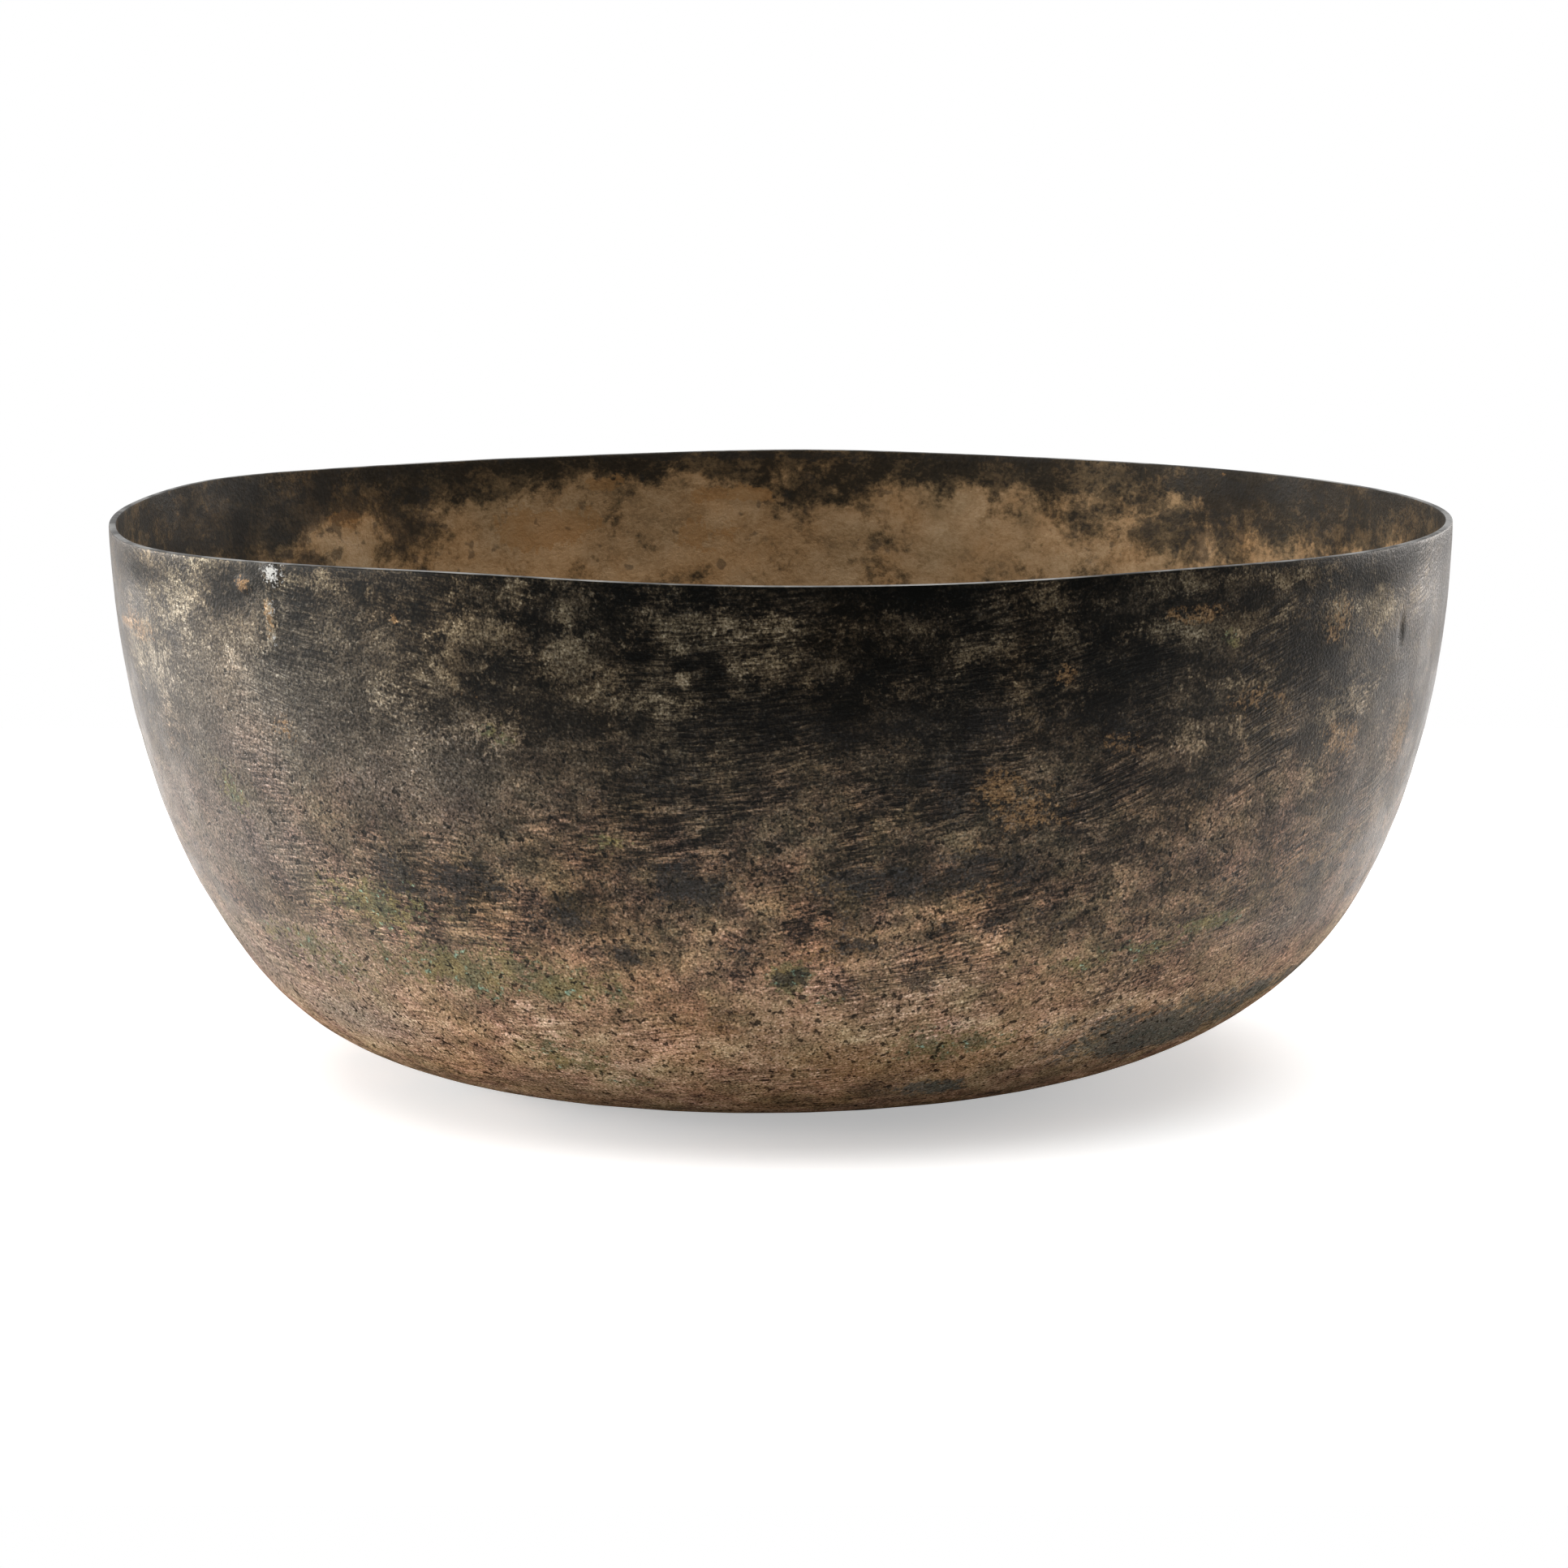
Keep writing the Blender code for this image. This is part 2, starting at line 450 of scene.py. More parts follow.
# Noises that colour and shine follow: scale, detail and, where it isn't the usual one, roughness
OUTER_DRIFT_NOISE = (16.0, 4.0)
INNER_DRIFT_NOISE = (18.0, 4.0)
TINT_NOISE = (30.0, 7.0, 0.66)
ROSE_NOISE = (75.0, 9.0, 0.75)
INNER_TINT_NOISE = (40.0, 6.0)
GREENS_NOISE = (160.0, 4.0)
VERDIGRIS_NOISE = (480.0, 3.0)
SPECK_NOISE = (1700.0, 1.0, 0.5)
OUTER_SHINE_NOISE = (70.0, 4.0)
INNER_SHINE_NOISE = (60.0, 4.0)
LIP_NOISE = (45.0, 4.0)
LIP_BUMP_NOISE = (500.0, 3.0)

# How far the bands of the wall drift, and where the lower band starts and is full
OUTER_DRIFT = 0.35
INNER_DRIFT = 0.25
LOWER_BAND = (0.15, 0.46)

# Shine of the three finishes; a fade goes from one share of the wall to another, then the two values
SHINE_RANGE = (0.3, 0.7)
OUTER_ROUGHNESS = (0.31, 0.45)
CALM_ROUGHNESS = 0.09
CHALK_ROUGHNESS = 0.3
METAL_FADE = (0.50, 0.88, 0.93, 0.0)
RIM_DULL_FADE = (0.02, 0.10, 0.3, 0.0)
STAIN_DULL = 0.5
COAT_FADE = (0.70, 0.92, 0.08, 0.0)
COAT_ROUGHNESS = 0.35
INNER_ROUGHNESS = (0.52, 0.70)
INNER_METAL = 0.3
INNER_SPECULAR = 0.12
LIP_WEAR = (0.35, 0.65)
LIP_ROUGHNESS = (0.55, 0.42)
LIP_METAL = 0.85

# Bumps: what each mark adds to the height, then the strength and the distance in metres
STROKE_HEIGHT = 3.0
PIT_HEIGHT = -0.7
GRAIN_HEIGHT = 0.3
CHALK_HEIGHT = 2.0
OUTER_BUMP = dict(Strength=0.7, Distance=0.00025)
INNER_BUMP = dict(Strength=0.3, Distance=0.0002)
LIP_BUMP = dict(Strength=0.4, Distance=0.0002)

# Places of two finishes among the bowl's materials; the outside is first
INSIDE_FINISH = 1
LIP_FINISH = 2

# Studio, in metres and watts; the room's light fades from its back to the camera's side
TABLE_SIDES = 0.62
TABLE_FRONT = 0.42
FLOOR_GLOW = 0.42
FLOOR_COLOUR = (0.90, 0.90, 0.90, 1.0)
FLOOR_ROUGHNESS = 0.9
WHITE = (1.0, 1.0, 1.0, 1.0)
ROOM_FADE = (-0.75, 0.25, 0.12, 0.9)
LAMP_AIM = (0.0, 0.0, 0.08)
LAMPS = {
    "left_softbox": ((-1.22, 0.10, 0.20), (1.8, 0.38), 31.0),
    "right_softbox": ((1.18, 0.75, 0.24), (1.2, 0.4), 10.0),
    "top_softbox": ((0.0, 0.1, 1.6), (3.0, 2.4), 27.0),
    "front_softbox": ((0.0, -0.8, 1.5), (2.2, 1.0), 11.0),
}

# Kinds of group socket, and the colour sockets of a Mix node
FLOAT = "NodeSocketFloat"
VECTOR = "NodeSocketVector"
MIX_UNDER = 6
MIX_OVER = 7
MIX_RESULT = 2


def only(thing):
    """Make one object the selected and active one."""
    bpy.ops.object.select_all(action="DESELECT")
    thing.select_set(True)
    bpy.context.view_layer.objects.active = thing


def dense_copy(node, name):
    """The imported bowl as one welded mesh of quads, refined for hammer work."""
    bowl = bpy.data.objects.new(name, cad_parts[node].data.copy())
    bpy.context.scene.collection.objects.link(bowl)
    bowl.data.materials.clear()
    only(bowl)
    bpy.ops.mesh.customdata_custom_splitnormals_clear()
    bpy.ops.object.mode_set(mode="EDIT")
    bpy.ops.mesh.select_all(action="SELECT")
    bpy.ops.mesh.remove_doubles(threshold=MERGE_DISTANCE)
    bpy.ops.mesh.tris_convert_to_quads(face_threshold=QUAD_ANGLE, shape_threshold=QUAD_ANGLE)
    bpy.ops.mesh.mark_sharp(clear=True)
    bpy.ops.object.mode_set(mode="OBJECT")
    refine = bowl.modifiers.new("refine", "SUBSURF")
    refine.levels = SKIN_LEVELS
    refine.render_levels = SKIN_LEVELS
    bpy.ops.object.modifier_apply(modifier=refine.name)
    bpy.ops.object.shade_smooth()
    return bowl


def points_of(mesh):
    flat = np.empty(len(mesh.vertices) * 3)
    mesh.vertices.foreach_get("co", flat)
    return flat.reshape(-1, 3)


def normals_of(mesh):
    flat = np.empty(len(mesh.vertices) * 3, np.float32)
    mesh.vertex_normals.foreach_get("vector", flat)
    return flat.reshape(-1, 3).astype(float)


def write_points(mesh, points):
    mesh.vertices.foreach_set("co", points.ravel())
    mesh.update()


def store(mesh, name, values):
    layer = mesh.attributes.new(name, "FLOAT", "POINT")
    layer.data.foreach_set("value", np.asarray(values, np.float32))


class Skin:
    """Where each vertex lies on the bowl: azimuth, distance down the wall, side."""

    def __init__(self, mesh):
        self.points = points_of(mesh)
        self.normals = normals_of(mesh)
        x, y, z = self.points.T
        self.radius = np.hypot(x, y)
        self.azimuth = np.arctan2(y, x)
        facing = self.normals[:, 0] * x + self.normals[:, 1] * y
        low = self.radius < FLOOR_RADIUS
        self.inside = np.where(low, self.normals[:, 2] > 0.0, facing < 0.0)
        top = cad_box[1][2]
        turn = np.arctan2(np.maximum(top - z, 0.0), self.radius)
        self.lip = (self.normals[:, 2] > LIP_NORMAL) & (z > LIP_ZONE * top)
        self.down = self.distance_down(turn)

    def distance_down(self, turn):
        """Arc length from the rim, read along the near side's outer wall."""
        near = ~self.inside & (np.abs(self.azimuth + math.pi / 2) < NEAR_SLICE)
        order = np.argsort(turn[near])
        section = np.c_[self.radius[near], self.points[near, 2]][order]
        steps = np.hypot(*np.diff(section, axis=0).T)
        length = np.concatenate([[0.0], np.cumsum(steps)])
        return np.interp(turn, turn[near][order], length)


def camera_axes():
    right = Vector((1.0, 0.0, 0.0))
    ahead = Vector((0.0, math.cos(CAMERA_ELEVATION), -math.sin(CAMERA_ELEVATION)))
    return right, ahead, right.cross(ahead)


def camera_place():
    return CAMERA_AIM - camera_axes()[1] * CAMERA_DISTANCE


def add_camera():
    data = bpy.data.cameras.new("camera")
    data.sensor_width = SENSOR_WIDTH
    data.lens = CAMERA_LENS
    camera = bpy.data.objects.new("camera", data)
    bpy.context.scene.collection.objects.link(camera)
    camera.location = camera_place()
    camera.rotation_euler = (math.pi / 2 - CAMERA_ELEVATION, 0.0, 0.0)
    bpy.context.scene.camera = camera


class Patch:
    """An oval on the wall, with its middle and its two half axes."""

    def __init__(self, place, normal, wide, tall):
        self.place = np.array(place)
        self.normal = np.array(normal)
        self.level = np.array(Vector((0.0, 0.0, 1.0)).cross(normal).normalized())
        self.rising = np.cross(self.normal, self.level)
        self.wide = wide
        self.tall = tall
        self.within = normal.x * place.x + normal.y * place.y < 0.0

    def distance(self, points):
        """Distance from the middle, 1 on the oval's edge, with what lies off its plane counted in."""
        away = points - self.place
        across = away @ self.level / self.wide
        along = away @ self.rising / self.tall
        off = away @ self.normal / PATCH_DEPTH
        return np.sqrt(across ** 2 + along ** 2 + off ** 2)


class Sight:
    """Finds where a pixel of the photograph lies on the bowl."""

    def __init__(self, thing):
        self.tree = BVHTree.FromObject(thing, bpy.context.evaluated_depsgraph_get())
        self.eye = camera_place()
        self.right, self.ahead, self.up = camera_axes()
        self.pixel = SENSOR_WIDTH / CAMERA_LENS / PHOTO_SIDE

    def hit(self, x, y):
        across = (x - PHOTO_SIDE / 2) * self.pixel
        above = (PHOTO_SIDE / 2 - y) * self.pixel
        ray = self.ahead + self.right * across + self.up * above
        place, normal, _, _ = self.tree.ray_cast(self.eye, ray.normalized())
        return place, normal

    def patch(self, x, y, half_width, half_height):
        """The oval at a pixel, or at the first one found on the way to the middle."""
        middle = PHOTO_SIDE / 2
        for share in SEARCH_SHARES:
            place, normal = self.hit(x + (middle - x) * share, y + (middle - y) * share)
            if place is not None:
                break
        else:
            raise ValueError("a stain lies off the bowl")
        scale = CAMERA_DISTANCE * self.pixel
        sideways = math.hypot(normal.x, normal.y)
        facing = abs(normal.dot(self.ahead)) / sideways if sideways > LEAST_SIDEWAYS else 1.0
        rising = normal.cross(Vector((0.0, 0.0, 1.0)).cross(normal).normalized())
        wide = half_width * scale / max(LEAST_FACING, facing)
        tall = half_height * scale / max(LEAST_RISING, abs(rising.dot(self.up)))
        return Patch(place, normal, wide, tall)


def refine_marks(bowl, patches):
    """Cut the skin finer round each mark, so that it can be raised or sunk."""
    mesh = bowl.data
    centres = np.empty(len(mesh.polygons) * 3)
    mesh.polygons.foreach_get("center", centres)
    centres = centres.reshape(-1, 3)
    chosen = np.zeros(len(centres), bool)
    for patch in patches:
        reach = max(patch.wide, patch.tall) + MARK_REACH
        chosen |= np.linalg.norm(centres - patch.place, axis=1) < reach
    only(bowl)
    bpy.ops.object.mode_set(mode="EDIT")
    bpy.ops.mesh.select_mode(type="FACE")
    bpy.ops.mesh.select_all(action="DESELECT")
    bpy.ops.object.mode_set(mode="OBJECT")
    mesh.polygons.foreach_set("select", chosen)
    bpy.ops.object.mode_set(mode="EDIT")
    bpy.ops.mesh.subdivide(number_cuts=MARK_CUTS, ngon=False)
    bpy.ops.object.mode_set(mode="OBJECT")


def hammer(mesh):
    """Courses of overlapping hammer blows, each a shallow dish in the wall."""
    skin = Skin(mesh)
    rng = np.random.default_rng(SEED)
    dent = np.zeros(len(skin.points))
    for course in np.arange(LIP_FADE, skin.down.max(), COURSE_STEP):
        row = np.abs(skin.down - course) < 2.0 * BLOW_HALF_HEIGHT
        if not row.any():
            continue
        around = np.median(skin.radius[row])
        count = max(LEAST_BLOWS, int(2.0 * math.pi * around / BLOW_STEP))
        step = 2.0 * math.pi / count
        shift = rng.uniform(-0.5, 0.5)
        slide = rng.uniform(-BLOW_JITTER, BLOW_JITTER, count)
        lift = rng.uniform(-BLOW_JITTER, BLOW_JITTER, count) * COURSE_STEP
        depth = BLOW_DEPTH * rng.uniform(*BLOW_FORCES, count)
        spot = skin.azimuth[row] / step - shift
        lean = BLOW_LEAN * np.cos(skin.azimuth[row])
        for offset in (-1, 0, 1):
            index = np.round(spot).astype(int) + offset
            blow = index % count
            along = (spot - index - slide[blow]) * step * skin.radius[row]
            across = skin.down[row] - course - lift[blow] + lean * along
            dish = 1.0 - (along / BLOW_HALF_LENGTH) ** 2 - (across / BLOW_HALF_HEIGHT) ** 2
            dent[row] = np.maximum(dent[row], depth[blow] * np.maximum(dish, 0.0))
    dent *= np.clip(skin.down / LIP_FADE, 0.0, 1.0) ** 2
    dent[skin.lip] = 0.0
    push = np.where(skin.inside, INNER_SHARE * dent, -dent)
    standing = skin.points[:, 2] < FOOT_FLAT
    push[standing & ~skin.inside] = 0.0
    write_points(mesh, skin.points + skin.normals * push[:, None])


def raise_marks(mesh, patches, rises):
    """Lumps, scars and pits, each with a rough top."""
    skin = Skin(mesh)
    rng = np.random.default_rng(SEED)
    rough = rng.uniform(*MARK_ROUGHNESS, len(skin.points))
    push = np.zeros(len(skin.points))
    for patch, rise in zip(patches, rises):
        bell = np.exp(-patch.distance(skin.points) ** MARK_STEEPNESS)
        bell[skin.inside != patch.within] = 0.0
        push += rise * bell * rough
    push[skin.lip] = 0.0
    write_points(mesh, skin.points + skin.normals * push[:, None])


def stain_mask(skin, sight, stains, far_side=True):
    """Soft patches round the stains, and the same on the far side, turned half round."""
    mask = np.zeros(len(skin.points))
    ways = [np.ones(3), np.array([-1.0, -1.0, 1.0])]
    for x, y, half_width, half_height, strength in stains:
        patch = sight.patch(x, y, half_width, half_height)
        for way in ways[:1 + far_side]:
            soft = strength * np.exp(-patch.distance(skin.points * way) ** 2)
            soft[skin.inside != patch.within] = 0.0
            mask = np.maximum(mask, soft)
    return mask


class Tree:
    """A short way to place and link nodes in a material or a group."""

    def __init__(self, tree):
        self.tree = tree

    def add(self, kind, **values):
        return self.fill(self.tree.nodes.new(kind), values)

    def fill(self, node, values):
        """Set or link inputs of a node, named with underscores for spaces."""
        for name, value in values.items():
            self.put(node.inputs[name.replace("_", " ")], value)
        return node

    def put(self, socket, value):
        if isinstance(value, bpy.types.NodeSocket):
            self.tree.links.new(value, socket)
        else:
            socket.default_value = value

    def math(self, operation, *values, clamp=False):
        node = self.tree.nodes.new("ShaderNodeMath")
        node.operation = operation
        node.use_clamp = clamp
        for socket, value in zip(node.inputs, values):
            self.put(socket, value)
        return node.outputs[0]

    def times(self, value, factor):
        return self.math("MULTIPLY", value, factor)

    def total(self, *values):
        result = values[0]
        for value in values[1:]:
            result = self.math("ADD", result, value)
        return result

    def spread(self, value, low, high, to_low=0.0, to_high=1.0):
        node = self.tree.nodes.new("ShaderNodeMapRange")
        node.interpolation_type = "SMOOTHSTEP"
        for name, entry in (("Value", value), ("From Min", low), ("From Max", high),
                            ("To Min", to_low), ("To Max", to_high)):
            self.put(node.inputs[name], entry)
        return node.outputs["Result"]

    def noise(self, vector, scale, detail=4.0, roughness=0.6, distortion=0.0):
        node = self.add("ShaderNodeTexNoise", Vector=vector, Scale=scale, Detail=detail,
                        Roughness=roughness, Distortion=distortion)
        return node.outputs["Fac"]

    def swing(self, *values, **named):
        """Noise about zero."""
        return self.math("SUBTRACT", self.noise(*values, **named), 0.5)

    def attribute(self, name):
        node = self.tree.nodes.new("ShaderNodeAttribute")
        node.attribute_name = name
        return node.outputs["Fac"]

    def blend(self, mask, under, over, way="MIX"):
        node = self.tree.nodes.new("ShaderNodeMix")
        node.data_type = "RGBA"
        node.blend_type = way
        self.put(node.inputs["Factor"], mask)
        self.put(node.inputs[MIX_UNDER], under)
        self.put(node.inputs[MIX_OVER], over)
        return node.outputs[MIX_RESULT]

    def ramp(self, value, stops):
        node = self.add("ShaderNodeValToRGB", Fac=value)
        bar = node.color_ramp
        while len(bar.elements) < len(stops):
            bar.elements.new(0.5)
        for element, (place, colour) in zip(bar.elements, stops):
            element.position = place
            element.color = rgba(colour)
        return node.outputs["Color"]

    def use(self, group, **values):
        node = self.tree.nodes.new("ShaderNodeGroup")
        node.node_tree = group
        return self.fill(node, values).outputs


class Finish(Tree):
    """A material in the making: its shader, and the ways its stains and levels are laid on."""

    def __init__(self, name, groups=None):
        self.material = bpy.data.materials.new(name)
        self.material.use_nodes = True
        super().__init__(self.material.node_tree)
        self.tree.nodes.clear()
        self.groups = groups
        self.shader = self.add("ShaderNodeBsdfPrincipled")
        self.add("ShaderNodeOutputMaterial", Surface=self.shader.outputs["BSDF"])
        self.position = self.add("ShaderNodeTexCoord").outputs["Object"]

    def shade(self, **values):
        """Set or link inputs of the shader."""
        self.fill(self.shader, values)

    def bump(self, height, values):
        """Roughen the surface by a height."""
        node = self.add("ShaderNodeBump", Height=height, **values)
        self.shade(Normal=node.outputs["Normal"])

    def wall_share(self):
        """How far down the wall a point lies, 0 at the rim and about 1 at the foot."""
        return self.math("DIVIDE", self.attribute("down"), WALL_LENGTH)

    def drifted(self, share, noise, amount):
        """The share of the wall, made uneven so that no band has a level border."""
        return self.total(share, self.times(self.swing(self.position, *noise), amount))

    def between(self, mask, low, high):
        """A value that goes from low to high with a mask."""
        return self.spread(mask, 0.0, 1.0, low, high)

    def tint(self, colour, noise, tints, mask=1.0):
        """A colour multiplied by tints that change with a noise."""
        return self.blend(mask, colour, self.ramp(self.noise(self.position, *noise), tints), "MULTIPLY")

    def stain(self, patch, amount, edge):
        """A soft patch torn into a ragged stain."""
        parts = dict(zip(EDGE_PARTS, EDGES[edge]))
        mask = self.use(self.groups["stain"], Patch=patch, Position=self.position, **parts)["Mask"]
        return self.times(mask, amount)

    def kept_stain(self, name, amount):
        """A ragged stain that stays on its own patches."""
        patch = self.attribute(name)
        return self.times(self.stain(patch, amount, name), self.spread(patch, *STAIN_RIM))


def rgba(colour):
    return (*colour, 1.0)


def greys(levels):
    return tuple((place, (level, level, level)) for place, level in levels)


def new_group(name, inputs, outputs):
    group = bpy.data.node_groups.new(name, "ShaderNodeTree")
    for label, kind in inputs:
        group.interface.new_socket(label, in_out="INPUT", socket_type=kind)
    for label, kind in outputs:
        group.interface.new_socket(label, in_out="OUTPUT", socket_type=kind)
    source = group.nodes.new("NodeGroupInput").outputs
    target = group.nodes.new("NodeGroupOutput").inputs
    return group, Tree(group), source, target


def ragged_stain_group():
    """Turns a soft patch into a stain with ragged, grainy edges."""
    group, t, source, target = new_group(
        "ragged_stain",
        (("Patch", FLOAT), ("Position", VECTOR), ("Scale", FLOAT), ("Ragged", FLOAT),
         ("Grain Scale", FLOAT), ("Grain", FLOAT), ("Level", FLOAT), ("Softness", FLOAT)),
        (("Mask", FLOAT),))
    torn = t.swing(source["Position"], source["Scale"], detail=9.0, roughness=0.72, distortion=0.3)
    grain = t.swing(source["Position"], source["Grain Scale"], detail=3.0)
    total = t.total(source["Patch"], t.times(torn, source["Ragged"]), t.times(grain, source["Grain"]))
    low = t.math("SUBTRACT", source["Level"], source["Softness"])
    high = t.math("ADD", source["Level"], source["Softness"])
    t.put(target["Mask"], t.spread(total, low, high))
    return group


def cloudy_patina_group():
    """How light the patina is: a level broken up by clouds, mottles and grain."""
    group, t, source, target = new_group(
        "cloudy_patina",
        (("Level", FLOAT), ("Position", VECTOR), ("Cloud Scale", FLOAT), ("Cloud", FLOAT),
         ("Mottle Scale", FLOAT), ("Mottle", FLOAT), ("Grain Scale", FLOAT), ("Grain", FLOAT)),
        (("Level", FLOAT), ("Grain", FLOAT)))
    flat = t.add("ShaderNodeVectorMath")
    flat.operation = "MULTIPLY"
    t.put(flat.inputs[0], source["Position"])
    t.put(flat.inputs[1], CLOUD_STRETCH)
    place = flat.outputs[0]
    cloud = t.swing(place, source["Cloud Scale"], detail=10.0, roughness=0.66, distortion=0.4)
    mottle = t.noise(place, source["Mottle Scale"], detail=9.0, roughness=0.76, distortion=0.3)
    mottle = t.spread(mottle, *MOTTLE_RANGE, *ABOUT_ZERO)
    grain = t.noise(source["Position"], source["Grain Scale"], detail=2.0)
    grain = t.spread(grain, *GRAIN_RANGE, *ABOUT_ZERO)
    t.put(target["Level"], t.total(source["Level"], t.times(cloud, source["Cloud"]),
                                   t.times(mottle, source["Mottle"]), t.times(grain, source["Grain"])))
    t.put(target["Grain"], grain)
    return group


def strokes_group():
    """Fine strokes left by the hammer and scraper, lying round the wall."""
    group, t, source, target = new_group(
        "hammer_strokes",
        (("Position", VECTOR), ("Down", FLOAT), ("Length", FLOAT), ("Width", FLOAT),
         ("Front Lean", FLOAT), ("End Lean", FLOAT)),
        (("Height", FLOAT),))
    split = t.add("ShaderNodeSeparateXYZ", Vector=source["Position"])
    wave = t.times(t.swing(source["Position"], STROKE_WAVE_SCALE, detail=2.0), STROKE_WAVE)
    leaned = t.total(source["Down"], t.times(split.outputs["X"], source["Front Lean"]),
                     t.times(split.outputs["Y"], source["End Lean"]), wave)
    stretched = t.add("ShaderNodeCombineXYZ",
                      X=t.math("DIVIDE", split.outputs["X"], source["Length"]),
                      Y=t.math("DIVIDE", split.outputs["Y"], source["Length"]),
                      Z=t.math("DIVIDE", leaned, source["Width"]))
    lines = t.noise(stretched.outputs[0], 1.0, detail=2.0, roughness=0.55, distortion=0.25)
    lines = t.spread(lines, *STROKE_RANGE, *ABOUT_ZERO)
    cover = t.noise(source["Position"], STROKE_COVER_SCALE, detail=2.0, roughness=0.5)
    t.put(target["Height"], t.times(lines, t.spread(cover, *STROKE_COVER)))
    return group


def pitting_group():
    """Small corrosion pits and a few pale specks."""
    group, t, source, target = new_group(
        "pitting",
        (("Position", VECTOR), ("Scale", FLOAT), ("Share", FLOAT)),
        (("Pits", FLOAT), ("Specks", FLOAT)))
    dots = t.noise(source["Position"], source["Scale"], detail=2.0, roughness=0.5)
    t.put(target["Pits"], t.spread(dots, source["Share"], t.math("SUBTRACT", source["Share"], PIT_EDGE)))
    coarser = t.times(source["Scale"], PALE_SPECK_SCALE)
    specks = t.noise(source["Position"], coarser, detail=1.0, roughness=0.5)
    t.put(target["Specks"], t.spread(specks, *PALE_SPECKS))
    return group


def outside_level(t, drifted, lower, calm_sheen):
    """How light the outer wall is, with the strokes and the grain that also show in its bump."""
    # Calm metal is drawn to a lighter level, a painted sheen.
    start = t.blend(t.times(calm_sheen, CALM_SHEEN_PULL), t.ramp(drifted, greys(OUTER_LEVELS)), rgba(CALM_SHEEN_LEVEL))
    tan = t.stain(t.attribute("tan"), t.between(lower, *TAN_LIFT), "tan")
    black = t.stain(t.attribute("black"), t.between(lower, *BLACK_DROP), "black")
    blotches = t.stain(t.ramp(drifted, greys(BLOTCH_SHARES)), BLOTCH_DROP, "blotch")
    wild = t.between(calm_sheen, *CALM_CLOUDS)
    patina = t.use(t.groups["patina"], Level=t.total(start, tan, black, blotches), Position=t.position,
                   Cloud=t.times(t.between(lower, *CLOUD_AMOUNT), wild),
                   Mottle=t.times(t.between(lower, *MOTTLE_AMOUNT), wild), **OUTER_CLOUDS)
    down = t.attribute("down")
    strokes = t.use(t.groups["strokes"], Position=t.position, Down=down, **STROKES)["Height"]
    scrapes = t.use(t.groups["strokes"], Position=t.position, Down=down, **SCRAPES)["Height"]
    scored = t.times(t.total(strokes, t.times(scrapes, lower)), t.between(calm_sheen, *CALM_STROKES))
    return t.total(patina["Level"], scored), scored, patina["Grain"]


def outside_patina(t, level, lower, calm_sheen):
    """Brown-black above and rose brown below, greyed as a painted sheen where the metal is calmer."""
    colour = t.blend(lower, t.ramp(level, UPPER_PATINA), t.ramp(level, LOWER_PATINA))
    colour = t.tint(colour, TINT_NOISE, TINTS)
    colour = t.tint(colour, ROSE_NOISE, ROSE_TINTS, lower)
    # Calm metal is greyed, a painted sheen.
    greyed = t.add("ShaderNodeHueSaturation", Color=colour, Saturation=t.between(calm_sheen, *CALM_SHEEN_SATURATION))
    return greyed.outputs["Color"]


def outside_stains(t, colour, lower):
    """Orange, green, teal and soot over the patina, with verdigris flecks in the green."""
    colour = t.blend(t.kept_stain("orange", ORANGE_COVER), colour, rgba(ORANGE))
    green = t.kept_stain("green", GREEN_COVER)
    colour = t.blend(green, colour, t.ramp(t.noise(t.position, *GREENS_NOISE), GREENS))
    colour = t.blend(t.kept_stain("teal", TEAL_COVER), colour, rgba(TEAL))
    soot = t.stain(t.attribute("black"), t.times(lower, SOOT_COVER), "soot")
    colour = t.blend(soot, colour, rgba(SOOT))
    flecks = t.times(green, t.spread(t.noise(t.position, *VERDIGRIS_NOISE), *VERDIGRIS_FLECKS))
    return t.blend(t.times(flecks, VERDIGRIS_COVER), colour, rgba(VERDIGRIS))


def outside_specks(t, colour, pits):
    """Dark specks, bright specks that are partly painted glints, black pits and a few pale specks."""
    specks = t.noise(t.position, *SPECK_NOISE)
    colour = t.blend(t.times(t.spread(specks, *DARK_SPECKS), DARK_SPECK_COVER), colour, rgba(BLACK))
    # Bright specks are lightened and made neutral, partly as painted glints.
    colour = t.blend(t.spread(specks, *BRIGHT_SPECKS_AND_GLINTS), colour, rgba(GLINT_LIFT), "MULTIPLY")
    colour = t.blend(t.times(pits["Pits"], PIT_COVER), colour, rgba(BLACK))
    return t.blend(t.times(pits["Specks"], CYAN_COVER), colour, rgba(CYAN))


def outside_metal(t, share, chalk):
    """Metal in the upper wall, duller at the rim, under stains and chalk, and none at the foot."""
    black = t.times(t.attribute("black"), STAIN_DULL)
    tan = t.times(t.attribute("tan"), STAIN_DULL)
    dull = t.total(chalk, black, tan, t.spread(share, *RIM_DULL_FADE))
    return t.times(t.spread(share, *METAL_FADE), t.math("SUBTRACT", 1.0, dull, clamp=True))


